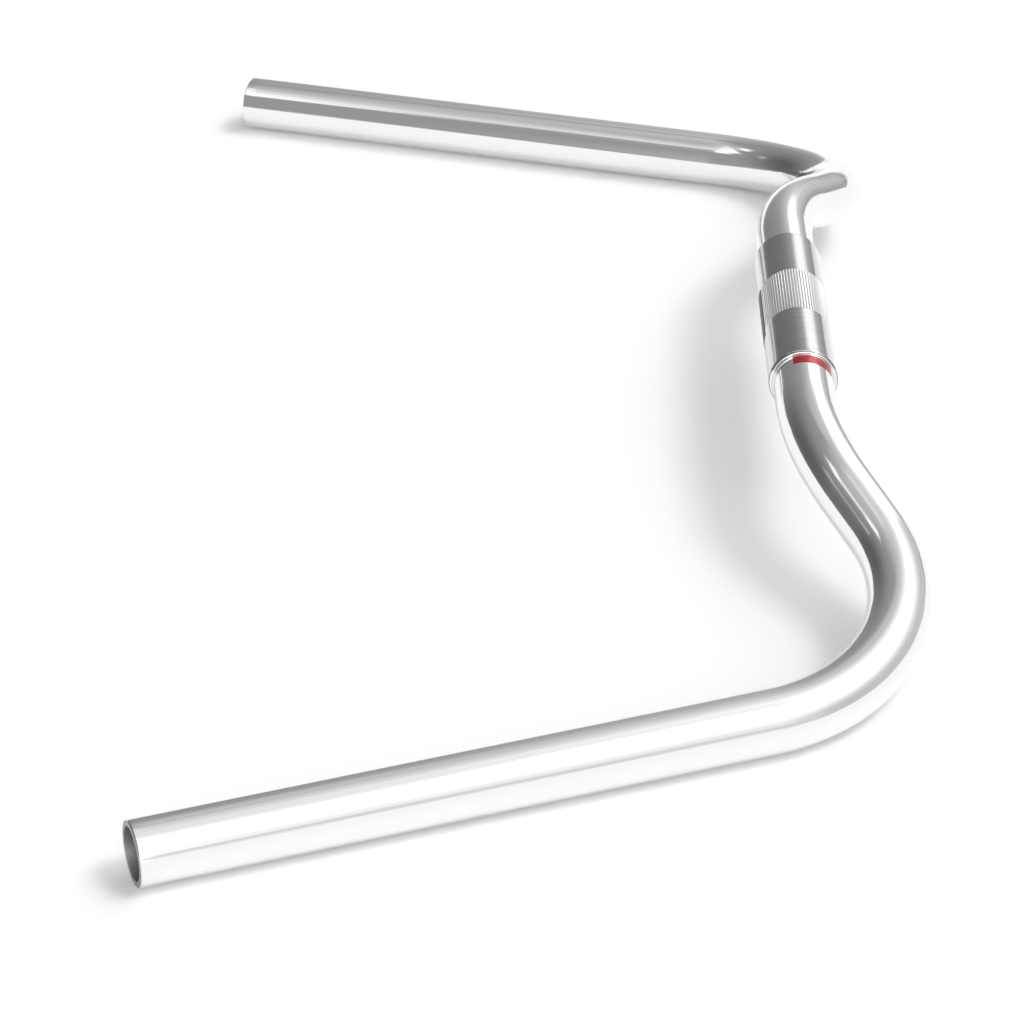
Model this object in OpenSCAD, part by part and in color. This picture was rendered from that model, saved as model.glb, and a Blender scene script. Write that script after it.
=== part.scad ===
// Swept-back bicycle handlebar: one bent tube with a ribbed clamp sleeve pressed over its middle.
// X runs along the sleeve, +Y points forward of the bar and +Z up, as the bar lies on a table.
// The origin is the middle of the sleeve, on its axis.

/* [Tube] */
// Outer diameter of the tube
tube_d = 22.2; // [21:0.1:23.8]
// Wall of the tube
tube_wall = 2.1; // [1.2:0.1:3]
// How much bending draws the tube in: a bend's diameter is this much under that of the straights
bend_draw = 0.12; // [0.1:0.02:0.3]
// Bevel on the outer edge of both tube ends
end_bevel = 0.4; // [0.1:0.05:0.8]

/* [Shoulders] */
// From the middle of the bar to the corner of the first bend
corner_x = 102.8; // [98:0.1:125]
// From the corner of the first bend to the corner of the second
shoulder_l = 125.9; // [122:0.1:180]
// Turn of the shoulder forward of the sleeve's axis, in degrees
shoulder_forward = 24.9; // [12:0.1:29]
// Drop of the shoulder below the sleeve's axis, in degrees
shoulder_drop = 15.8; // [6:0.1:21]
// Radius of the first bend, to the tube's axis
bend_1_r = 117.7; // [70:0.1:140]

/* [Grips] */
// From the corner of the second bend to the tube's end
grip_l = 294.8; // [180:0.1:340]
// Turn of the grip outward from straight back, in degrees
grip_flare = 20.1; // [11:0.1:32]
// Radius of the second bend, to the tube's axis
bend_2_r = 71.1; // [45:0.1:75]

/* [Sleeve] */
// Outer diameter of the sleeve, which a stem clamps
sleeve_d = 25.4; // [24.8:0.1:31.8]
// Length of the sleeve
sleeve_l = 107; // [80:0.5:112]
// Bevel on the outer edge of both sleeve ends
sleeve_bevel = 0.8; // [0.2:0.05:1]

/* [Ribbed band] */
// Number of grooves around the band
groove_count = 70; // [24:1:80]
// Width of a groove at the surface
groove_w = 0.5; // [0.2:0.05:0.8]
// Depth of a groove
groove_depth = 0.3; // [0.1:0.05:0.5]
// Length of the ribbed band
band_l = 35; // [15:0.5:60]
// How far the band's middle lies from the sleeve's middle
band_shift = -1.5; // [-8:0.5:8]

/* [Labels] */
// Thickness of the label films
film_t = 0.12; // [0.08:0.02:0.3]
// Width of the red label, along the tube
red_w = 6.1; // [3:0.1:8]
// Space between the sleeve's end and the red label
red_gap = 0.3; // [0.1:0.1:1]
// Turn at which the red label starts, from straight forward, in degrees
red_from = 28; // [0:1:60]
// Turn through which the red label wraps, in degrees
red_wrap = 84; // [20:1:160]
// Length of the dark label, along the sleeve
dark_l = 40; // [15:0.5:60]
// Turn at which the dark label starts, from straight forward, in degrees
dark_from = 163; // [120:1:200]
// Turn through which the dark label wraps, in degrees
dark_wrap = 60; // [20:1:100]

/* [Hidden] */
$fn = 96;
// How far a cutter passes the face that it cuts
over = 1;
// How far a bend reaches into the straights at its ends
bend_overlap = 0.5;

bore_d = tube_d - 2 * tube_wall;

// Directions of the shoulder and the grip of the +X side
shoulder_dir = [
    cos(shoulder_forward) * cos(shoulder_drop),
    sin(shoulder_forward) * cos(shoulder_drop),
    -sin(shoulder_drop)
];
grip_dir = [sin(grip_flare), -cos(grip_flare), 0];

// Angle of each bend, and the length that it takes from both of its straights
bend_1_angle = acos(shoulder_dir.x);
bend_2_angle = acos(shoulder_dir * grip_dir);
bend_1_cut = bend_1_r * tan(bend_1_angle / 2);
bend_2_cut = bend_2_r * tan(bend_2_angle / 2);

// Straights between the bends
middle_half_l = corner_x - bend_1_cut;
between_l = shoulder_l - bend_1_cut - bend_2_cut;
grip_straight_l = grip_l - bend_2_cut;

// Turn of each bend's plane about the tube's axis, as on a tube bender
plane_1 = atan2(shoulder_dir.z, shoulder_dir.y);
side_1 = [0, cos(plane_1), sin(plane_1)];
bent_side_1 = side_1 * cos(bend_1_angle) - [1, 0, 0] * sin(bend_1_angle);
plane_2 = atan2(cross(shoulder_dir, bent_side_1) * grip_dir, bent_side_1 * grip_dir);

// A rod of diameter d from the origin along +X
module rod(d, l) {
    rotate([0, 90, 0])
        cylinder(d = d, h = l);
}

// A rod bent from +X towards +Y, with the children at its far end
module bend(d, radius, angle) {
    reach = atan(bend_overlap / radius);
    translate([0, radius, 0])
        rotate([0, 0, -90 - reach])
            rotate_extrude(angle = angle + 2 * reach)
                translate([radius, 0])
                    circle(d = d - bend_draw);
    after_bend(radius, angle)
        children();
}

// The children placed at the far end of a bend
module after_bend(radius, angle) {
    translate([0, radius, 0])
        rotate([0, 0, angle])
            translate([0, -radius, 0])
                children();
}

// The bar's route on the +X side, from its first bend on, filled to diameter d
module side_route(d, extra) {
    translate([middle_half_l, 0, 0])
        rotate([plane_1, 0, 0])
            bend(d, bend_1_r, bend_1_angle) {
                rod(d, between_l);
                translate([between_l, 0, 0])
                    rotate([plane_2, 0, 0])
                        bend(d, bend_2_r, bend_2_angle)
                            rod(d, grip_straight_l + extra);
            }
}

// The bar's whole route, filled to diameter d, with extra length at both open ends
module route(d, extra) {
    translate([-middle_half_l, 0, 0])
        rod(d, 2 * middle_half_l);
    both_sides()
        side_route(d, extra);
}

// The children placed on the open end of the +X side, with +X out of the tube
module at_end() {
    translate([middle_half_l, 0, 0])
        rotate([plane_1, 0, 0])
            after_bend(bend_1_r, bend_1_angle)
                translate([between_l, 0, 0])
                    rotate([plane_2, 0, 0])
                        after_bend(bend_2_r, bend_2_angle)
                            translate([grip_straight_l, 0, 0])
                                children();
}

// Cutter that bevels the outer edge of a rod's end, which faces +X at the origin
module edge_bevel(d, size) {
    rotate([0, 90, 0])
        rotate_extrude()
            polygon([
                [d / 2 - size - over, over],
                [d / 2 + over, -size - over],
                [d / 2 + over, over]
            ]);
}

module both_sides() {
    children();
    mirror([1, 0, 0])
        children();
}

module bar_tube() {
    color("silver")
        difference() {
            route(tube_d, 0);
            route(bore_d, over);
            both_sides()
                at_end()
                    edge_bevel(tube_d, end_bevel);
        }
}

// One groove of the ribbed band, a V cut along the sleeve's top
module groove() {
    slope = groove_w / 2 / groove_depth;
    translate([band_shift - band_l / 2, 0, sleeve_d / 2])
        rotate([90, 0, 90])
            linear_extrude(band_l)
                polygon([
                    [0, -groove_depth],
                    [(groove_depth + over) * slope, over],
                    [-(groove_depth + over) * slope, over]
                ]);
}

module center_sleeve() {
    color("gainsboro")
        difference() {
            translate([-sleeve_l / 2, 0, 0])
                rod(sleeve_d, sleeve_l);
            translate([-sleeve_l / 2 - over, 0, 0])
                rod(tube_d, sleeve_l + 2 * over);
            both_sides()
                translate([sleeve_l / 2, 0, 0])
                    edge_bevel(sleeve_d, sleeve_bevel);
            for (i = [0:groove_count - 1])
                rotate([(i + 0.5) * 360 / groove_count, 0, 0])
                    groove();
        }
}

// A thin film wrapped on a rod of diameter d, starting at x; the turn runs from +Y over +Z
module film(d, x, l, from, wrap) {
    translate([x, 0, 0])
        rotate([from, 0, 0])
            rotate([90, 0, 90])
                rotate_extrude(angle = wrap)
                    translate([d / 2, 0])
                        square([film_t, l]);
}

module red_label() {
    color("firebrick")
        film(tube_d, sleeve_l / 2 + red_gap, red_w, red_from, red_wrap);
}

module dark_label() {
    color("dimgray")
        film(sleeve_d, -dark_l / 2, dark_l, dark_from, dark_wrap);
}

bar_tube();
center_sleeve();
red_label();
dark_label();
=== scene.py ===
from math import degrees, radians

import bpy
import numpy as np
from mathutils import Matrix, Vector


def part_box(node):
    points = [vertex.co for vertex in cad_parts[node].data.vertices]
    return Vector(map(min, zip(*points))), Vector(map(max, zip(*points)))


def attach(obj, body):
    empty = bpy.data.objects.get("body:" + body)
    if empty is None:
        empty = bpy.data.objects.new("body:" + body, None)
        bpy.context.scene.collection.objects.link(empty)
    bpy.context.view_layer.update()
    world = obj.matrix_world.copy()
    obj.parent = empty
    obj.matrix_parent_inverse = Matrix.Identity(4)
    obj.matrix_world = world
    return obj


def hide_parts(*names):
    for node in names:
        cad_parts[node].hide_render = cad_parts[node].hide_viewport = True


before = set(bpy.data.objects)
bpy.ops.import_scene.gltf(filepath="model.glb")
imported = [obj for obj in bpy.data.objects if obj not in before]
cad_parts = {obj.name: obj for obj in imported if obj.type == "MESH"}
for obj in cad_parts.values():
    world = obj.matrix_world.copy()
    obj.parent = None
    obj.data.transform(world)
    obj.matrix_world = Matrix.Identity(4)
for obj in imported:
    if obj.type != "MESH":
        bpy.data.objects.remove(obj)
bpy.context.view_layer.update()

SLEEVE_LOW, SLEEVE_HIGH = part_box("center_sleeve")
RED_LOW, RED_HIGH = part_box("red_label")
DARK_LOW, DARK_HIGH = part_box("dark_label")
BAR_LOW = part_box("bar_tube")[0]

bl_info = {
    "name": "Swept-back handlebar",
    "version": (1, 0, 0),
    "blender": (4, 5, 0),
    "location": "View3D > Sidebar > Handlebar",
    "description": "Builds a polished swept-back handlebar with a ribbed clamp sleeve, and its studio",
    "category": "Add Mesh",
}


# Sizes and colours


class BarSizes(bpy.types.PropertyGroup):
    """Sizes and colours of the bent tube, with lengths along its centre line."""

    tube_d: bpy.props.FloatProperty(
        name="Tube diameter", description="Outer diameter of the straights",
        default=0.0222, unit="LENGTH", precision=5)
    wall: bpy.props.FloatProperty(
        name="Wall", description="Wall of the tube",
        default=0.0021, unit="LENGTH", precision=5)
    draw: bpy.props.FloatProperty(
        name="Draw", description="How much thinner the tube is in a bend, on the diameter",
        default=0.00012, unit="LENGTH", precision=6)
    corner_x: bpy.props.FloatProperty(
        name="First corner", description="From the middle of the bar to the corner of the first bend",
        default=0.1028, unit="LENGTH", precision=5)
    shoulder_l: bpy.props.FloatProperty(
        name="Shoulder", description="From the corner of the first bend to that of the second",
        default=0.1259, unit="LENGTH", precision=5)
    forward: bpy.props.FloatProperty(
        name="Shoulder forward", description="Turn of the shoulder forward of the sleeve's axis",
        default=radians(24.9), subtype="ANGLE")
    drop: bpy.props.FloatProperty(
        name="Shoulder drop", description="Drop of the shoulder below the sleeve's axis",
        default=radians(15.8), subtype="ANGLE")
    grip_l: bpy.props.FloatProperty(
        name="Grip", description="From the corner of the second bend to the open end",
        default=0.2948, unit="LENGTH", precision=5)
    flare: bpy.props.FloatProperty(
        name="Grip flare", description="Turn of the grip outward from straight back",
        default=radians(20.1), subtype="ANGLE")
    bend_1_r: bpy.props.FloatProperty(
        name="First bend", description="Radius of the first bend, to the centre line",
        default=0.1177, unit="LENGTH", precision=5)
    bend_2_r: bpy.props.FloatProperty(
        name="Second bend", description="Radius of the second bend, to the centre line",
        default=0.0711, unit="LENGTH", precision=5)
    rim: bpy.props.FloatProperty(
        name="Rim bevel", description="Bevel on the outer edge of both open ends",
        default=0.0004, unit="LENGTH", precision=5)
    around: bpy.props.IntProperty(
        name="Points around", description="Points around the tube", default=144, min=24, max=240)
    silver: bpy.props.FloatVectorProperty(
        name="Tube colour", description="Colour of the polished metal",
        default=(0.88, 0.88, 0.885), size=3, subtype="COLOR", min=0, max=1)
    inner: bpy.props.FloatVectorProperty(
        name="Inner colour", description="Colour of the dull metal inside the tube",
        default=(0.38, 0.37, 0.36), size=3, subtype="COLOR", min=0, max=1)
    line_depth: bpy.props.FloatProperty(
        name="Drawn lines", description="Depth of the faint lines that drawing leaves along the tube",
        default=0.000016, unit="LENGTH", precision=7)


class SleeveSizes(bpy.types.PropertyGroup):
    """Sizes and colours of the clamp sleeve and its ribbed band."""

    length: bpy.props.FloatProperty(
        name="Length", description="Length of the sleeve",
        default=SLEEVE_HIGH.x - SLEEVE_LOW.x, unit="LENGTH", precision=5)
    diameter: bpy.props.FloatProperty(
        name="Diameter", description="Outer diameter of the sleeve",
        default=2 * SLEEVE_HIGH.y, unit="LENGTH", precision=5)
    bevel: bpy.props.FloatProperty(
        name="Bevel", description="Bevel on the outer edge of both ends",
        default=0.0008, unit="LENGTH", precision=5)
    grooves: bpy.props.IntProperty(
        name="Grooves", description="Number of grooves around the band", default=70, min=12, max=90)
    groove_w: bpy.props.FloatProperty(
        name="Groove width", description="Width of a groove at the surface",
        default=0.0005, unit="LENGTH", precision=5)
    groove_depth: bpy.props.FloatProperty(
        name="Groove depth", description="Depth of a groove",
        default=0.0003, unit="LENGTH", precision=5)
    band_l: bpy.props.FloatProperty(
        name="Band length", description="Length of the ribbed band",
        default=0.035, unit="LENGTH", precision=5)
    band_shift: bpy.props.FloatProperty(
        name="Band shift", description="How far the band's middle lies from the sleeve's",
        default=-0.0015, unit="LENGTH", precision=5)
    metal: bpy.props.FloatVectorProperty(
        name="Sleeve colour", description="Colour of the turned metal",
        default=(0.49, 0.485, 0.49), size=3, subtype="COLOR", min=0, max=1)
    # painted light: this brighter colour stands in for the light that the band's ribs scatter, and the
    # bright end faces take it too
    painted_bright_metal: bpy.props.FloatVectorProperty(
        name="Band colour", description="Colour of the brighter metal of the ribbed band",
        default=(0.86, 0.86, 0.865), size=3, subtype="COLOR", min=0, max=1)
    # painted reflection: a dark line on the bevel of both ends, lower down at the sides than at the top
    painted_dark_line: bpy.props.FloatVectorProperty(
        name="Edge colour", description="Colour of the dark line on the corner of both ends",
        default=(0.12, 0.12, 0.125), size=3, subtype="COLOR", min=0, max=1)


class LabelSizes(bpy.types.PropertyGroup):
    """Sizes and colours of the two plain label films."""

    red_from: bpy.props.FloatProperty(
        name="Red from", description="Turn from straight forward over the top to the red film",
        default=radians(28), subtype="ANGLE")
    red_wrap: bpy.props.FloatProperty(
        name="Red wrap", description="Turn through which the red film wraps",
        default=radians(84), subtype="ANGLE")
    dark_from: bpy.props.FloatProperty(
        name="Dark from", description="Turn from straight forward over the top to the dark film",
        default=radians(163), subtype="ANGLE")
    dark_wrap: bpy.props.FloatProperty(
        name="Dark wrap", description="Turn through which the dark film wraps",
        default=radians(60), subtype="ANGLE")
    thickness: bpy.props.FloatProperty(
        name="Thickness", description="Thickness of the films",
        default=0.00012, unit="LENGTH", precision=6)
    red: bpy.props.FloatVectorProperty(
        name="Red", description="Colour of the red film",
        default=(0.4, 0.008, 0.016), size=3, subtype="COLOR", min=0, max=1)
    dark: bpy.props.FloatVectorProperty(
        name="Dark", description="Colour of the dark film",
        default=(0.02, 0.02, 0.022), size=3, subtype="COLOR", min=0, max=1)


class StageSizes(bpy.types.PropertyGroup):
    """The floor and the camera of the studio."""

    floor: bpy.props.FloatVectorProperty(
        name="Floor", description="Colour of the floor",
        default=(0.8, 0.8, 0.802), size=3, subtype="COLOR", min=0, max=1)
    lift: bpy.props.FloatProperty(
        name="Floor lift", description="Brightness that the floor shows on top of its lit colour",
        default=0.08, min=0, max=1)
    floor_r: bpy.props.FloatProperty(
        name="Floor radius", description="Radius of the round floor", default=1.6, unit="LENGTH")
    lens: bpy.props.FloatProperty(
        name="Lens", description="Focal length on a 36 mm wide picture, in millimetres", default=144.44)
    camera_at: bpy.props.FloatVectorProperty(
        name="Camera", description="Where the camera stands",
        default=(1.407244, -0.086338, 0.658439), size=3, subtype="XYZ", unit="LENGTH")
    yaw: bpy.props.FloatProperty(
        name="Yaw", description="Turn of the view from straight along the sleeve",
        default=0.015805, subtype="ANGLE")
    pitch: bpy.props.FloatProperty(
        name="Pitch", description="How far the view looks down", default=0.483104, subtype="ANGLE")
    roll: bpy.props.FloatProperty(
        name="Roll", description="Roll of the picture", default=-0.024024, subtype="ANGLE")


# Surfaces


def unit(v):
    """A vector, or rows of vectors, at length one."""
    v = np.asarray(v, float)
    return v / np.linalg.norm(v, axis=-1, keepdims=True)


def turned(v, axis, angle):
    """Rows of vectors v turned about one axis by rows of angles.

    Formula: v cos a + (axis x v) sin a + axis (axis . v)(1 - cos a).
    """
    a = np.asarray(angle, float)[:, None]
    v = np.asarray(v, float)
    return v * np.cos(a) + np.cross(axis, v) * np.sin(a) + axis * (axis @ v) * (1 - np.cos(a))


class Route:
    """The centre line of the bar: straights and arcs, the same on both sides of its middle."""

    def __init__(self, size):
        shoulder = np.array([
            np.cos(size.forward) * np.cos(size.drop),
            np.sin(size.forward) * np.cos(size.drop),
            -np.sin(size.drop)])
        grip = np.array([np.sin(size.flare), -np.cos(size.flare), 0.0])
        along = np.array([1.0, 0.0, 0.0])
        angle_1 = np.arccos(along @ shoulder)
        angle_2 = np.arccos(shoulder @ grip)
        cut_1 = size.bend_1_r * np.tan(angle_1 / 2)
        cut_2 = size.bend_2_r * np.tan(angle_2 / 2)
        self.legs = [
            self.leg(size.corner_x - cut_1, None, along, along),
            self.leg(size.bend_1_r * angle_1, size.bend_1_r, along, shoulder),
            self.leg(size.shoulder_l - cut_1 - cut_2, None, shoulder, shoulder),
            self.leg(size.bend_2_r * angle_2, size.bend_2_r, shoulder, grip),
            self.leg(size.grip_l - cut_2, None, grip, grip),
        ]
        self.marks = np.cumsum([0.0] + [one["length"] for one in self.legs])
        self.half_length = self.marks[-1]

    @staticmethod
    def leg(length, radius, start, end):
        """One straight, or one arc that turns from direction start to direction end."""
        axis = unit(np.cross(start, end)) if radius else np.array([0.0, 0.0, 1.0])
        return {"length": float(length), "radius": radius, "dir": start, "axis": axis}

    def at(self, s):
        """Points and two cross directions at the lengths s, measured from the bar's middle.

        Formula: along a straight the point is start + t dir and the cross directions stay. Along
        an arc of radius r the point is start + r (sin a dir + (1 - cos a) side) with a = t / r,
        and the cross directions turn by a about the arc's axis. Negative lengths are the mirror
        image through the middle plane.
        """
        tiny = 1e-12
        s = np.asarray(s, float)
        side_of = np.where(s < 0, -1.0, 1.0)
        t = np.minimum(np.abs(s), self.half_length)
        centre = np.zeros((len(s), 3))
        first = np.zeros((len(s), 3))
        second = np.zeros((len(s), 3))
        start = np.zeros(3)
        one_dir = np.array([0.0, 1.0, 0.0])
        two_dir = np.array([0.0, 0.0, 1.0])
        for low, leg in zip(self.marks, self.legs):
            here = (t >= low - tiny)
            u = np.clip(t[here] - low, 0, leg["length"])
            if leg["radius"]:
                r = leg["radius"]
                side = np.cross(leg["axis"], leg["dir"])
                a = u / r
                centre[here] = start + r * (
                    np.sin(a)[:, None] * leg["dir"] + (1 - np.cos(a))[:, None] * side)
                first[here] = turned(one_dir, leg["axis"], a)
                second[here] = turned(two_dir, leg["axis"], a)
                end = leg["length"] / r
                start = start + r * (np.sin(end) * leg["dir"] + (1 - np.cos(end)) * side)
                one_dir = turned(one_dir, leg["axis"], [end])[0]
                two_dir = turned(two_dir, leg["axis"], [end])[0]
            else:
                centre[here] = start + u[:, None] * leg["dir"]
                first[here] = one_dir
                second[here] = two_dir
                start = start + leg["length"] * leg["dir"]
        for rows in (centre, first, second):
            rows[:, 0] *= side_of
        return centre, first, second

    def bent(self, s, blend):
        """How far the tube is drawn in at the lengths s.

        Formula: with u from 0 at a bend's end to 1 at the length blend inside it, the share is
        u^2 (3 - 2 u), so it is 1 in a bend and 0 in a straight.
        """
        t = np.abs(np.asarray(s, float))
        shares = np.zeros_like(t)
        for low, leg in zip(self.marks, self.legs):
            if leg["radius"]:
                inside = np.minimum(t - low, low + leg["length"] - t)
                u = np.clip(inside / blend, 0, 1)
                shares = np.maximum(shares, u * u * (3 - 2 * u))
        return shares

    def rows(self, straight_step, arc_step):
        """Lengths from end to end, close together in the arcs and wider in the straights."""
        short_leg = 0.03
        half = [np.zeros(1)]
        for low, leg in zip(self.marks, self.legs):
            step = arc_step if leg["radius"] or leg["length"] < short_leg else straight_step
            count = max(2, int(np.ceil(leg["length"] / step)))
            half.append(low + leg["length"] * np.arange(1, count + 1) / count)
        half = np.concatenate(half)
        return np.concatenate([-half[:0:-1], half])


def soft_corner(a, corner, b, reach, count):
    """Points that round a corner of a profile: the curve a, corner, b seen from reach away.

    Formula: a quadratic curve (1-t)^2 p + 2 t (1-t) corner + t^2 q, with p and q at reach
    from the corner along its two sides.
    """
    a, corner, b = (np.asarray(p, float) for p in (a, corner, b))
    p = corner + (a - corner) * min(reach / np.linalg.norm(a - corner), 0.5)
    q = corner + (b - corner) * min(reach / np.linalg.norm(b - corner), 0.5)
    t = np.linspace(0, 1, count)[:, None]
    return (1 - t) ** 2 * p + 2 * t * (1 - t) * corner + t ** 2 * q


def closed_grid(points, close_rows=True, cap=False):
    """Vertices and faces of a grid of points (rows, columns, 3) whose columns close on themselves.

    Each face joins four neighbours. With close_rows the last row joins the first. With cap the
    first and last rows are each closed by one flat face.
    """
    rows, columns = points.shape[:2]
    number = np.arange(rows * columns).reshape(rows, columns)
    below = number if close_rows else number[:-1]
    above = np.roll(number, -1, 0) if close_rows else number[1:]
    quads = np.stack([
        below, np.roll(below, -1, 1), np.roll(above, -1, 1), above], -1).reshape(-1, 4)
    faces = quads.tolist()
    if cap:
        faces += [number[0, ::-1].tolist(), number[-1].tolist()]
    return points.reshape(-1, 3), faces


def signed_volume(points, faces):
    """Six times the volume within the four-sided faces; below zero when they point inwards."""
    quads = np.array([f for f in faces if len(f) == 4])
    a, b, c, d = (points[quads[:, i]] for i in range(4))
    return float((np.cross(a, b) * c).sum() + (np.cross(a, c) * d).sum())


def piece(name, points, faces, node, slot, material, uv=None, masks=None):
    """One finished piece: a smooth mesh that stands for a CAD node, and hides that node.

    Each of masks is one number per point, which the finish reads by the mask's name.
    """
    if signed_volume(points, faces) < 0:
        faces = [face[::-1] for face in faces]
        uv = None if uv is None else uv[:, ::-1]
    mesh = bpy.data.meshes.new(name)
    mesh.from_pydata(points.tolist(), [], faces)
    mesh.polygons.foreach_set("use_smooth", np.ones(len(faces), bool))
    if uv is not None:
        layer = mesh.uv_layers.new(name="route")
        layer.data.foreach_set("uv", uv.reshape(-1).astype(np.float32))
    for label, mask in (masks or {}).items():
        mesh.attributes.new(label, "FLOAT", "POINT").data.foreach_set(
            "value", mask.astype(np.float32))
    mesh.update()
    if mesh.validate():
        raise RuntimeError(name + ": the mesh had faces that Blender could not keep")
    thing = bpy.data.objects.new(name, mesh)
    bpy.context.scene.collection.objects.link(thing)
    mesh.materials.append(material)
    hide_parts(node)
    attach(thing, "root")
    return thing


def tube_profile(size, route):
    """The bar's profile: rows of a length s along the route and a radius, right round the wall.

    Formula: the outer radius is half the tube's diameter, less half the draw times the share
    bent; the rim falls at 45 degrees over its bevel; the bore lies one wall further in.
    """
    end = route.half_length
    outer_r = size.tube_d / 2
    bore_r = outer_r - size.wall
    rounding = 0.00012
    lip_rounding = 0.0001
    lip_reach = 0.002
    corner_rows = 5
    draw_in = 0.012
    outer = route.rows(straight_step=0.006, arc_step=0.0012)
    outer = outer[np.abs(outer) < end - 2 * size.rim]
    outer_radius = outer_r - size.draw / 2 * route.bent(outer, draw_in)
    wall_top = [end - 3 * size.rim, outer_r]
    bevel_low = [end - size.rim, outer_r]
    bevel_high = [end, outer_r - size.rim]
    lip = [end, bore_r]
    inside = [end - lip_reach, bore_r]
    rim = np.concatenate([
        soft_corner(wall_top, bevel_low, bevel_high, rounding, corner_rows),
        soft_corner(bevel_low, bevel_high, lip, rounding, corner_rows),
        [[end, (outer_r + bore_r) / 2]],
        soft_corner(bevel_high, lip, inside, lip_rounding, corner_rows),
    ])
    inner = route.rows(straight_step=0.008, arc_step=0.004)
    inner = inner[np.abs(inner) < end - lip_reach]
    return np.concatenate([
        np.stack([outer, outer_radius], 1),
        rim,
        np.stack([inner[::-1], np.full(len(inner), bore_r)], 1),
        (rim * [-1, 1])[::-1],
    ])


def unrolled(s, around, radius):
    """The map of a tube laid flat: each face's corners as length along and way around, in metres.

    Formula: the way around is the angle in radians times the radius.
    """
    turn = np.arange(around + 1) / around * 2 * np.pi * radius
    s_here = np.repeat(s, around)
    s_next = np.repeat(np.roll(s, -1), around)
    u_low, u_high = np.tile(turn[:-1], len(s)), np.tile(turn[1:], len(s))
    return np.stack([
        np.stack([s_here, u_low], 1), np.stack([s_here, u_high], 1),
        np.stack([s_next, u_high], 1), np.stack([s_next, u_low], 1)], 1)


def tube_surface(size):
    """The bar as one closed surface: outer wall, rim, inner wall, rim.

    Formula: each row of the profile is a length s along the route and a radius r; its points are
    centre(s) + r (cos a first(s) + sin a second(s)) for the angles a around the tube. "dull" marks
    the cut face and the bore.
    """
    route = Route(size)
    profile = tube_profile(size, route)
    centre, first, second = route.at(profile[:, 0])
    a = 2 * np.pi * np.arange(size.around) / size.around
    ring = np.cos(a)[None, :, None] * first[:, None] + np.sin(a)[None, :, None] * second[:, None]
    points = centre[:, None] + profile[:, 1][:, None, None] * ring
    vertices, faces = closed_grid(points)
    outer_r = size.tube_d / 2
    uv = unrolled(profile[:, 0], size.around, outer_r)
    polished_share = 0.03
    fade = 6
    depth = np.clip((outer_r - profile[:, 1]) / size.wall, 0, 1)
    dull = np.repeat(np.clip((depth - polished_share) * fade, 0, 1), size.around)
    return vertices, faces, uv, {"dull": dull}


def sleeve_profile(size, band, ramp, inner_r):
    """The sleeve's profile: rows of a position x and a radius, from its wall round both ends.

    Formula: the wall has the sleeve's radius; each end falls at 45 degrees over its bevel, and
    its face runs in to the inner radius.
    """
    half = size.length / 2
    r = size.diameter / 2
    step = size.bevel
    wall_end = half - 3 * step
    gap = 0.0005
    rounding = 0.00015
    near_corner = 0.2 * step
    far_corner = 0.8 * step
    wall_rows = 8
    ramp_rows = 4
    corner_rows = 6
    bevel_rows = 7
    flat = np.concatenate([
        np.linspace(-wall_end, band[0] - gap, wall_rows),
        np.linspace(band[0], band[0] + ramp, ramp_rows),
        np.linspace(band[1] - ramp, band[1], ramp_rows),
        np.linspace(band[1] + gap, wall_end, wall_rows)])
    bevel_low = [half - step, r]
    bevel_high = [half, r - step]
    end = np.concatenate([
        soft_corner([wall_end, r], bevel_low, bevel_high, rounding, corner_rows),
        np.linspace(
            [half - far_corner, r - near_corner], [half - near_corner, r - far_corner], bevel_rows),
        soft_corner(bevel_low, bevel_high, [half, inner_r], rounding, corner_rows),
        [[half, inner_r]],
    ])
    return np.concatenate([
        np.stack([flat, np.full(len(flat), r)], 1), end, (end * [-1, 1])[::-1]])


def sleeve_surface(size, tube_d):
    """The sleeve as one closed surface with V grooves cut into its band.

    Formula: a profile of position x and radius r is turned about the sleeve's axis; in the band
    the radius drops by depth times (1 - distance from the groove's middle / half its width),
    where that is above zero, and each groove runs out over a short ramp at both ends. "band" marks
    the grooved part, "edge" a painted dark reflection line on the bevel of both ends, which lies
    further in at the top, and "face" a painted bright reflection from that line to the bore.
    """
    r = size.diameter / 2
    overlap = 0.00005
    ramp = 0.0004
    tiny = 1e-9
    band = [size.band_shift - size.band_l / 2, size.band_shift + size.band_l / 2]
    profile = sleeve_profile(size, band, ramp, tube_d / 2 - overlap)
    x = profile[:, 0]

    points_per_groove = 12
    count = size.grooves * points_per_groove
    turn = np.arange(count) / count
    a = 2 * np.pi * turn
    width = size.groove_w / (2 * np.pi * r / size.grooves)
    from_middle = np.abs((turn * size.grooves) % 1.0 - 0.5) / (width / 2)
    cut = np.clip(1 - from_middle, 0, 1)
    into_band = np.minimum(x - band[0], band[1] - x)
    on_wall = (profile[:, 1] > r - tiny).astype(float)
    cut_in = np.clip(into_band / ramp, 0, 1) * on_wall
    radius = profile[:, 1][:, None] - size.groove_depth * cut_in[:, None] * cut[None, :]
    points = np.stack([
        np.repeat(x[:, None], count, 1), radius * np.cos(a), radius * np.sin(a)], -1)
    vertices, faces = closed_grid(points)

    band_fade = 0.0002
    on_band = np.clip(into_band / band_fade, 0, 1) * on_wall
    # on the bevel all is a share of its length: the way past its outer corner, the place low down
    # of a painted dark reflection line and how much further in it lies at the top, the line's reach
    # to either side, and how far its edge and the painted bright face fade
    line_low = 0.2
    line_rise = 0.45
    line_reach = 0.24
    line_fade = 0.15
    face_fade = 0.1
    past = (np.abs(x)[:, None] - (size.length / 2 - size.bevel)) / size.bevel
    line = line_low + line_rise * np.clip(np.sin(a), 0, 1)[None, :] ** 2
    painted_line = np.clip((line_reach - np.abs(past - line)) / line_fade, 0, 1)
    painted_face = np.clip((past - line - face_fade) / face_fade, 0, 1)
    return vertices, faces, {
        "band": np.repeat(on_band, count), "edge": painted_line.ravel(), "face": painted_face.ravel()}


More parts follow.
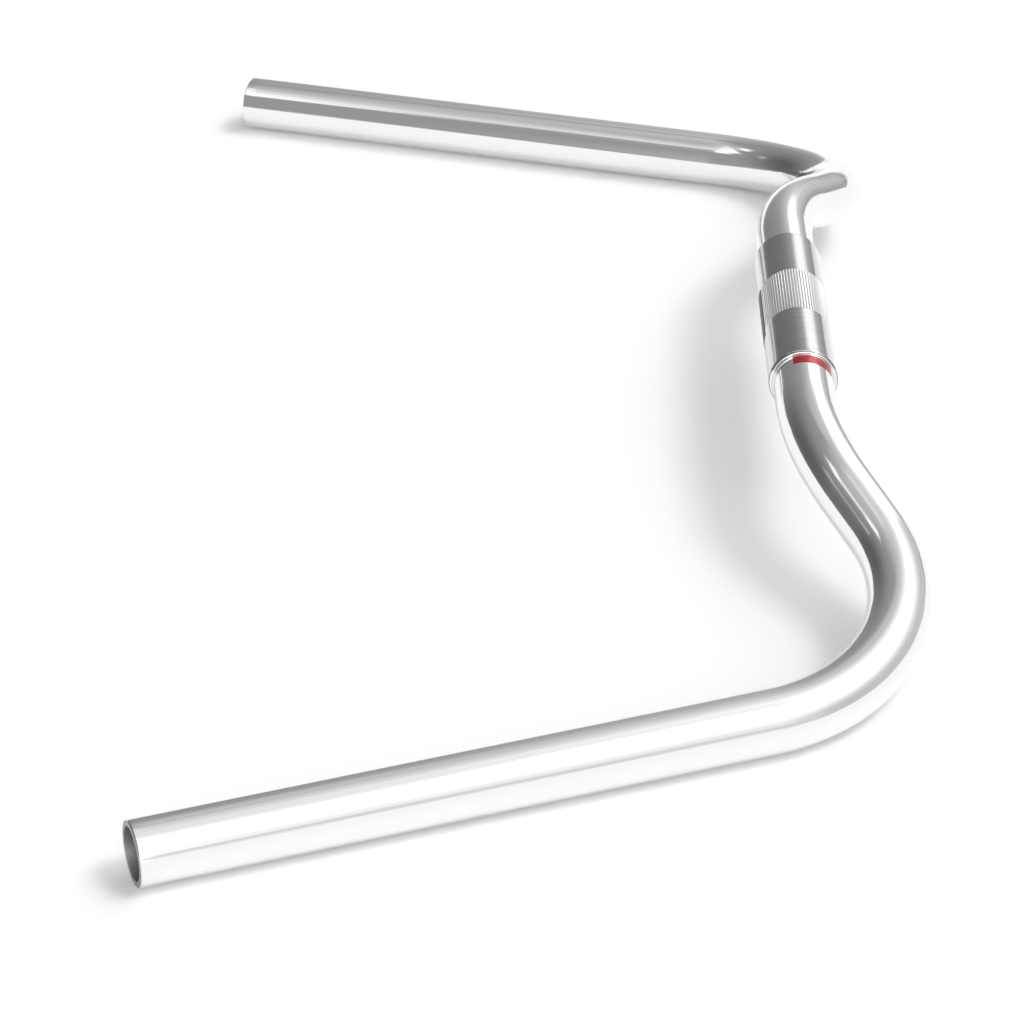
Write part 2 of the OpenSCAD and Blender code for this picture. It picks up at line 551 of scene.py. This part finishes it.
def film_surface(low_x, high_x, base_r, thickness, start, wrap):
    """A thin film bent round a rod, with soft edges.

    Formula: a closed profile of position x and height is turned about the rod's axis from start
    through wrap; the height falls off over a short way at both turned ends too.
    """
    sink = 0.00004
    edge = 0.00008
    along_rows = 8
    corner_rows = 4
    least_rows = 24
    # shares of the wrap: the rows lie closer together at both turned ends, where the
    # height falls off
    end_row = 0.0002
    first_row = 0.001
    low_edge, high_edge = [low_x, thickness], [high_x, thickness]
    along = np.linspace(low_x, high_x, along_rows)[1:-1]
    top = np.concatenate([
        [[low_x, -sink], [low_x, thickness - edge]],
        soft_corner([low_x, 0], low_edge, high_edge, edge, corner_rows),
        np.stack([along, np.full(len(along), thickness)], 1),
        soft_corner(low_edge, high_edge, [high_x, 0], edge, corner_rows),
        [[high_x, thickness - edge], [high_x, -sink]],
    ])
    count = max(least_rows, int(np.degrees(wrap)))
    turn = np.concatenate([
        [0, end_row], np.linspace(first_row, 1 - first_row, count), [1 - end_row, 1]])
    near_end = np.minimum(turn, 1 - turn) * wrap * base_r
    share = np.sqrt(np.clip(near_end / edge, 0, 1))
    a = start + wrap * turn
    rise = np.maximum(top[:, 1], 0)[None, :] * share[:, None]
    radius = base_r + rise - np.where(top[:, 1] > 0, 0, sink)[None, :]
    points = np.stack([
        np.repeat(top[:, 0][None, :], len(a), 0),
        radius * np.cos(a)[:, None], radius * np.sin(a)[:, None]], -1)
    return closed_grid(points, close_rows=False, cap=True)


# Finishes


def add_node(tree, kind, inputs=None, **settings):
    """A new node with its settings, and with its inputs set by their names."""
    node = tree.nodes.new(kind)
    for label, value in settings.items():
        setattr(node, label, value)
    for label, value in (inputs or {}).items():
        node.inputs[label].default_value = value
    return node


def above(tree, source, low, high):
    """A mask that rises from 0 at low to 1 at high."""
    rise = add_node(tree, "ShaderNodeMapRange", {"From Min": low, "From Max": high})
    tree.links.new(source, rise.inputs["Value"])
    return rise.outputs["Result"]


def combined(tree, operation, first, second=None, **settings):
    """A Math node on one or two sources; a source is a socket or a number."""
    node = add_node(tree, "ShaderNodeMath", operation=operation, **settings)
    for place, source in enumerate((first, second)):
        if isinstance(source, (int, float)):
            node.inputs[place].default_value = source
        elif source is not None:
            tree.links.new(source, node.inputs[place])
    return node.outputs["Value"]


def wear_group():
    """Fine wear: thin marks and a soft cloud, built once and placed in each finish."""
    name = "fine wear"
    if name in bpy.data.node_groups:
        return bpy.data.node_groups[name]
    tree = bpy.data.node_groups.new(name, "ShaderNodeTree")
    tree.interface.new_socket("Vector", in_out="INPUT", socket_type="NodeSocketVector")
    for label, value in (("Cloud scale", 30.0), ("Mark scale", 400.0), ("Mark amount", 0.5)):
        socket = tree.interface.new_socket(label, in_out="INPUT", socket_type="NodeSocketFloat")
        socket.default_value = value
    tree.interface.new_socket("Mask", in_out="OUTPUT", socket_type="NodeSocketFloat")
    start = tree.nodes.new("NodeGroupInput")
    end = tree.nodes.new("NodeGroupOutput")
    cloud = add_node(tree, "ShaderNodeTexNoise", {"Detail": 3})
    marks = add_node(tree, "ShaderNodeTexNoise", {"Detail": 2})
    for noise, scale in ((cloud, "Cloud scale"), (marks, "Mark scale")):
        tree.links.new(start.outputs["Vector"], noise.inputs["Vector"])
        tree.links.new(start.outputs[scale], noise.inputs["Scale"])
    thin = above(tree, marks.outputs["Fac"], low=0.6, high=0.75)
    amount = combined(tree, "MULTIPLY", thin, start.outputs["Mark amount"])
    both = combined(tree, "ADD", cloud.outputs["Fac"], amount, use_clamp=True)
    tree.links.new(both, end.inputs["Mask"])
    return tree


def finish_of(name, color, metallic, roughness, place="Object", stretch=(1.0, 1.0, 1.0),
              cloud=200.0, marks=1500.0, amount=0.2):
    """A plain finish with fine wear on its roughness, between the two values of roughness."""
    material = bpy.data.materials.new(name)
    material.use_nodes = True
    tree = material.node_tree
    shader = tree.nodes["Principled BSDF"]
    shader.inputs["Base Color"].default_value = (*color, 1)
    shader.inputs["Metallic"].default_value = metallic
    coordinates = add_node(tree, "ShaderNodeTexCoord")
    mapping = add_node(tree, "ShaderNodeMapping", {"Scale": stretch})
    wear = add_node(tree, "ShaderNodeGroup", node_tree=wear_group(), inputs={
        "Cloud scale": cloud, "Mark scale": marks, "Mark amount": amount})
    spread = add_node(
        tree, "ShaderNodeMapRange", {"To Min": roughness[0], "To Max": roughness[1]})
    tree.links.new(coordinates.outputs[place], mapping.inputs["Vector"])
    tree.links.new(mapping.outputs["Vector"], wear.inputs["Vector"])
    tree.links.new(wear.outputs["Mask"], spread.inputs["Value"])
    tree.links.new(spread.outputs["Result"], shader.inputs["Roughness"])
    return material


def in_use(sockets, name):
    """The socket of this name that belongs to the data type that its node is set to."""
    return next(socket for socket in sockets if socket.enabled and socket.name == name)


def lay_over(tree, mask, label, value):
    """Lay another value over one socket of the finish, by the strength of a mask."""
    below = tree.nodes["Principled BSDF"].inputs[label]
    over = tree.nodes.new("ShaderNodeMix")
    if below.type == "RGBA":
        over.data_type = "RGBA"
        value = (*value, 1)
    first = in_use(over.inputs, "A")
    if below.is_linked:
        tree.links.new(below.links[0].from_socket, first)
    else:
        first.default_value = below.default_value
    in_use(over.inputs, "B").default_value = value
    tree.links.new(mask, over.inputs["Factor"])
    tree.links.new(in_use(over.outputs, "Result"), below)


def mask_named(tree, label):
    """The number per point that a piece carries under this name."""
    return add_node(tree, "ShaderNodeAttribute", attribute_name=label).outputs["Fac"]


def drawn_out_noise(tree, source, stretch, detail, roughness=0.5):
    """Noise stretched along one direction, by scaling the coordinates that it reads."""
    mapping = add_node(tree, "ShaderNodeMapping", {"Scale": stretch})
    noise = add_node(
        tree, "ShaderNodeTexNoise", {"Scale": 1.0, "Detail": detail, "Roughness": roughness})
    tree.links.new(source, mapping.inputs["Vector"])
    tree.links.new(mapping.outputs["Vector"], noise.inputs["Vector"])
    return noise.outputs["Fac"]


def add_relief(tree, height, depth):
    """A Bump of this height on the finish, its depth in metres."""
    bump = add_node(tree, "ShaderNodeBump", {"Strength": 1.0, "Distance": depth})
    tree.links.new(height, bump.inputs["Height"])
    tree.links.new(bump.outputs["Normal"], tree.nodes["Principled BSDF"].inputs["Normal"])


def polished_finish(size):
    """Mirror-polished metal with faint drawn lines along the tube, and dull inside it."""
    material = finish_of(
        "polished tube", size.silver, metallic=1.0, roughness=(0.03, 0.09), place="UV",
        stretch=(1.0, 14.0, 1.0), cloud=14.0, marks=60.0, amount=0.25)
    tree = material.node_tree
    place = tree.nodes["Texture Coordinate"].outputs["UV"]
    lines = drawn_out_noise(tree, place, stretch=(2.0, 1600.0, 1.0), detail=4, roughness=0.6)
    add_relief(tree, lines, size.line_depth)
    lay_over(tree, above(tree, lines, low=0.56, high=0.7), "Roughness", 0.3)
    dull = mask_named(tree, "dull")
    lay_over(tree, dull, "Base Color", size.inner)
    lay_over(tree, dull, "Roughness", 0.5)
    return material


def turned_finish(size):
    """Finely turned metal under a clear coat, with painted light: a bright band, bright end faces
    and a dark line on the edge.
    """
    material = finish_of(
        "turned sleeve", size.metal, metallic=1.0, roughness=(0.09, 0.16),
        stretch=(1.0, 0.2, 0.2), cloud=300.0, marks=2500.0)
    tree = material.node_tree
    place = tree.nodes["Texture Coordinate"].outputs["Object"]
    fine_rings = drawn_out_noise(
        tree, place, stretch=(4000.0, 8.0, 8.0), detail=3, roughness=0.7)
    add_relief(tree, fine_rings, depth=0.000012)
    shader = tree.nodes["Principled BSDF"]
    shader.inputs["Coat Weight"].default_value = 1.0
    shader.inputs["Coat Roughness"].default_value = 0.06
    wide_rings = drawn_out_noise(tree, place, stretch=(1100.0, 12.0, 12.0), detail=3)
    ring_shade = 0.72
    darker = [ring_shade * part for part in size.metal]
    lay_over(tree, above(tree, wide_rings, low=0.35, high=0.75), "Base Color", darker)
    # painted light: the band is made brighter for the light that its ribs scatter
    band = mask_named(tree, "band")
    lay_over(tree, band, "Base Color", size.painted_bright_metal)
    lay_over(tree, band, "Roughness", 0.3)
    # painted reflection: bright end faces and a dark line on each bevel
    lay_over(tree, mask_named(tree, "face"), "Base Color", size.painted_bright_metal)
    lay_over(tree, mask_named(tree, "edge"), "Base Color", size.painted_dark_line)
    return material


def film_finish(name, color, metallic, roughness, coat):
    """Film in one plain colour; a metallic one is foil under a clear coat."""
    material = finish_of(name, color, metallic, roughness)
    shader = material.node_tree.nodes["Principled BSDF"]
    shader.inputs["IOR"].default_value = 1.5
    shader.inputs["Coat Weight"].default_value = coat
    shader.inputs["Coat Roughness"].default_value = 0.08
    return material


# Studio


# Soft fields of light in the studio, later ones over earlier ones. Each has the turn about the
# vertical and the height above the horizon that it covers, in degrees, how soft its edges are,
# and how bright it is. ROOM is the brightness of all that no field covers.
FIELDS = (
    # name, turn from, turn to, soft, height from, height to, soft, brightness
    ("pale side wall", 51, 173, 41, -11, 79, 32, 0.6),
    ("large softbox", 5.5, 151, 46, 38, 62, 50, 2.1),
    ("back wall", 174, 248, 31, -10, 66, 12.5, 0.53),
    ("left wall", 179, 330, 27, -7, 57, 11, 0.34),
    ("dark corner", 206, 270, 60, -10, 39.5, 43, 0.12),
    ("long lamp, low end", 270, 304.5, 2.5, 47, 54, 2.5, 1.25),
    ("long lamp, second part", 265, 299.5, 2.5, 52.5, 57.5, 2.5, 1.25),
    ("long lamp, middle", 262, 294.5, 2.5, 56, 61, 2.5, 1.25),
    ("long lamp, fourth part", 255, 284.5, 2.5, 59.5, 64, 2.5, 1.25),
    ("long lamp, high end", 245, 273.5, 2.5, 62.5, 66.5, 2.5, 1.25),
    ("round lamp", 231, 250, 6, 51, 57, 5, 1.25),
    ("small lamp", 248, 259.3, 3, 33, 38.2, 5, 0.5),
    ("small back lamp", 175.6, 188.7, 18, 38, 56, 24, 0.63),
    ("top left", 203, 332, 16.5, 72, 96, 48, 0.03),
    ("white edge", 149, 165, 10, 15, 49, 12, 2.0),
    ("white spot", 157, 170, 8, 13, 26, 9, 1.8),
    ("horizon line, back", 135, 172, 10, -4, 4, 6, 0.4),
    ("front fill, low side", -10, 28, 10, 3, 35, 14, 2.8),
    ("front fill, high side", 336, 370, 8, 3, 35, 14, 2.8),
    ("horizon line, front", 16, 55, 10, 3, 11, 6, 0.72),
    ("key light", 56, 96, 10, 50, 65, 4, 12.0),
    ("floor beyond the edge", -20, 380, 2, -95, -5, 4, 1.0),
)
ROOM = 0.98


def smooth_step(tree, source, low, high):
    """A node that rises smoothly from 0 at low to 1 at high."""
    step = add_node(tree, "ShaderNodeMapRange", {"From Min": low, "From Max": high},
                    interpolation_type="SMOOTHSTEP")
    tree.links.new(source, step.inputs["Value"])
    return step.outputs["Result"]


def between(tree, source, low, high, soft):
    """A mask that is 1 from low to high, with edges that are soft wide."""
    rise = smooth_step(tree, source, low - soft / 2, low + soft / 2)
    fall = smooth_step(tree, source, high + soft / 2, high - soft / 2)
    return combined(tree, "MULTIPLY", rise, fall)


def studio_light():
    """The light from all round, as soft fields of brightness by direction."""
    world = bpy.data.worlds.new("studio")
    world.use_nodes = True
    tree = world.node_tree
    place = add_node(tree, "ShaderNodeTexCoord")
    part = add_node(tree, "ShaderNodeSeparateXYZ")
    tree.links.new(place.outputs["Generated"], part.inputs["Vector"])
    height = combined(tree, "ARCSINE", part.outputs["Z"])
    height = combined(tree, "MULTIPLY", height, degrees(1))
    turn = combined(tree, "ARCTAN2", part.outputs["Y"], part.outputs["X"])
    turn = combined(tree, "MULTIPLY", turn, degrees(1))
    full_turn = 360.0
    turn = combined(tree, "MODULO", combined(tree, "ADD", turn, full_turn), full_turn)
    level = None
    for name, turn_0, turn_1, turn_soft, high_0, high_1, high_soft, bright in FIELDS:
        mask = combined(
            tree, "MULTIPLY", between(tree, turn, turn_0, turn_1, turn_soft),
            between(tree, height, high_0, high_1, high_soft))
        mix = add_node(tree, "ShaderNodeMix", {"A": ROOM, "B": bright}, label=name)
        tree.links.new(mask, mix.inputs["Factor"])
        if level is not None:
            tree.links.new(level, mix.inputs["A"])
        level = mix.outputs["Result"]
    tree.links.new(level, tree.nodes["Background"].inputs["Strength"])
    tree.nodes["Background"].inputs["Color"].default_value = (1, 1, 1, 1)
    bpy.context.scene.world = world


def floor_disc(size):
    """A round floor that the bar rests on.

    Formula: rings of points at growing radii about the point below the bar's middle.
    """
    count = 96
    ring_shares = np.array([0.3, 0.6, 1.0])
    middle_y = -0.1
    a = 2 * np.pi * np.arange(count) / count
    radii = size.floor_r * ring_shares[:, None]
    rings = np.stack([
        radii * np.cos(a), radii * np.sin(a) + middle_y,
        np.full((len(radii), count), BAR_LOW.z)], -1)
    number = np.arange(len(radii) * count).reshape(len(radii), count)
    faces = [number[0].tolist()] + np.stack([
        number[:-1], number[1:], np.roll(number[1:], -1, 1), np.roll(number[:-1], -1, 1)],
        -1).reshape(-1, 4).tolist()
    mesh = bpy.data.meshes.new("floor")
    mesh.from_pydata(rings.reshape(-1, 3).tolist(), [], faces)
    mesh.materials.append(floor_finish(size))
    floor = bpy.data.objects.new("floor", mesh)
    bpy.context.scene.collection.objects.link(floor)


def floor_finish(size):
    """White paper, a little brighter to the camera and in reflections than its light makes it."""
    material = bpy.data.materials.new("floor paper")
    material.use_nodes = True
    tree = material.node_tree
    shader = tree.nodes["Principled BSDF"]
    shader.inputs["Base Color"].default_value = (*size.floor, 1)
    shader.inputs["Roughness"].default_value = 1.0
    shader.inputs["Specular IOR Level"].default_value = 0.0
    shader.inputs["Emission Color"].default_value = (1, 1, 1, 1)
    ray = add_node(tree, "ShaderNodeLightPath")
    seen = combined(tree, "ADD", ray.outputs["Is Camera Ray"], ray.outputs["Is Glossy Ray"])
    seen = combined(tree, "ADD", seen, ray.outputs["Is Transmission Ray"])
    tree.links.new(combined(tree, "MULTIPLY", seen, size.lift), shader.inputs["Emission Strength"])
    return material


def studio_camera(size):
    """The camera, from its place, yaw, pitch and roll."""
    data = bpy.data.cameras.new("camera")
    data.sensor_width = 36
    data.lens = size.lens
    data.clip_end = 50
    ahead = Vector((
        -np.cos(size.yaw) * np.cos(size.pitch), -np.sin(size.yaw) * np.cos(size.pitch),
        -np.sin(size.pitch)))
    flat_right = ahead.cross(Vector((0, 0, 1))).normalized()
    flat_up = flat_right.cross(ahead)
    right = flat_right * np.cos(size.roll) + flat_up * np.sin(size.roll)
    up = -flat_right * np.sin(size.roll) + flat_up * np.cos(size.roll)
    camera = bpy.data.objects.new("camera", data)
    camera.matrix_world = Matrix.Translation(size.camera_at) @ Matrix(
        (right, up, -ahead)).transposed().to_4x4()
    bpy.context.scene.collection.objects.link(camera)
    bpy.context.scene.camera = camera


# Operators and panel


class HANDLEBAR_OT_tube(bpy.types.Operator):
    """Build the bent tube, hollow from end to end"""

    bl_idname = "handlebar.tube"
    bl_label = "Build the tube"

    def execute(self, context):
        size = context.scene.handlebar_bar
        vertices, faces, uv, masks = tube_surface(size)
        piece("bent_tube", vertices, faces, "bar_tube", "polished_tube", polished_finish(size),
              uv, masks)
        return {"FINISHED"}


class HANDLEBAR_OT_sleeve(bpy.types.Operator):
    """Build the clamp sleeve with its ribbed band"""

    bl_idname = "handlebar.sleeve"
    bl_label = "Build the sleeve"

    def execute(self, context):
        size = context.scene.handlebar_sleeve
        vertices, faces, masks = sleeve_surface(size, context.scene.handlebar_bar.tube_d)
        piece("ribbed_sleeve", vertices, faces, "center_sleeve", "turned_sleeve",
              turned_finish(size), masks=masks)
        return {"FINISHED"}


class HANDLEBAR_OT_labels(bpy.types.Operator):
    """Build the red film beside the sleeve and the dark film on its back"""

    bl_idname = "handlebar.labels"
    bl_label = "Build the labels"

    def execute(self, context):
        size = context.scene.handlebar_labels
        tube_r = context.scene.handlebar_bar.tube_d / 2
        sleeve_r = context.scene.handlebar_sleeve.diameter / 2
        red = film_surface(
            RED_LOW.x, RED_HIGH.x, tube_r, size.thickness, size.red_from, size.red_wrap)
        dark = film_surface(
            DARK_LOW.x, DARK_HIGH.x, sleeve_r, size.thickness, size.dark_from, size.dark_wrap)
        piece("red_film_label", *red, "red_label", "red_film",
              film_finish("red film", size.red, metallic=0.6, roughness=(0.16, 0.24), coat=0.04))
        piece("dark_film_label", *dark, "dark_label", "dark_film",
              film_finish("dark film", size.dark, metallic=0.0, roughness=(0.35, 0.5), coat=0.0))
        return {"FINISHED"}


class HANDLEBAR_OT_stage(bpy.types.Operator):
    """Set up the floor, the studio light and the camera"""

    bl_idname = "handlebar.stage"
    bl_label = "Set up the studio"

    def execute(self, context):
        size = context.scene.handlebar_stage
        floor_disc(size)
        studio_light()
        studio_camera(size)
        context.scene.view_settings.view_transform = "Standard"
        return {"FINISHED"}


class HANDLEBAR_PT_panel(bpy.types.Panel):
    """The handlebar's sizes, colours and operators"""

    bl_idname = "HANDLEBAR_PT_panel"
    bl_label = "Handlebar"
    bl_space_type = "VIEW_3D"
    bl_region_type = "UI"
    bl_category = "Handlebar"

    def draw(self, context):
        for group, operator in PARTS:
            box = self.layout.box()
            sizes = getattr(context.scene, group)
            for prop in sizes.bl_rna.properties:
                if prop.identifier not in {"rna_type", "name"}:
                    box.prop(sizes, prop.identifier)
            box.operator(operator)


PARTS = (
    ("handlebar_bar", "handlebar.tube"),
    ("handlebar_sleeve", "handlebar.sleeve"),
    ("handlebar_labels", "handlebar.labels"),
    ("handlebar_stage", "handlebar.stage"),
)
GROUPS = {
    "handlebar_bar": BarSizes,
    "handlebar_sleeve": SleeveSizes,
    "handlebar_labels": LabelSizes,
    "handlebar_stage": StageSizes,
}
CLASSES = (
    *GROUPS.values(),
    HANDLEBAR_OT_tube,
    HANDLEBAR_OT_sleeve,
    HANDLEBAR_OT_labels,
    HANDLEBAR_OT_stage,
    HANDLEBAR_PT_panel,
)


def register():
    """Makes the classes known and hangs the sizes on the scene."""
    for cls in CLASSES:
        bpy.utils.register_class(cls)
    for name, group in GROUPS.items():
        setattr(bpy.types.Scene, name, bpy.props.PointerProperty(type=group))


def unregister():
    """Takes the sizes and the classes away again."""
    for name in GROUPS:
        delattr(bpy.types.Scene, name)
    for cls in reversed(CLASSES):
        bpy.utils.unregister_class(cls)


def main():
    """Builds every piece and the studio."""
    register()
    bpy.ops.handlebar.tube()
    bpy.ops.handlebar.sleeve()
    bpy.ops.handlebar.labels()
    bpy.ops.handlebar.stage()


if __name__ == "__main__":
    main()
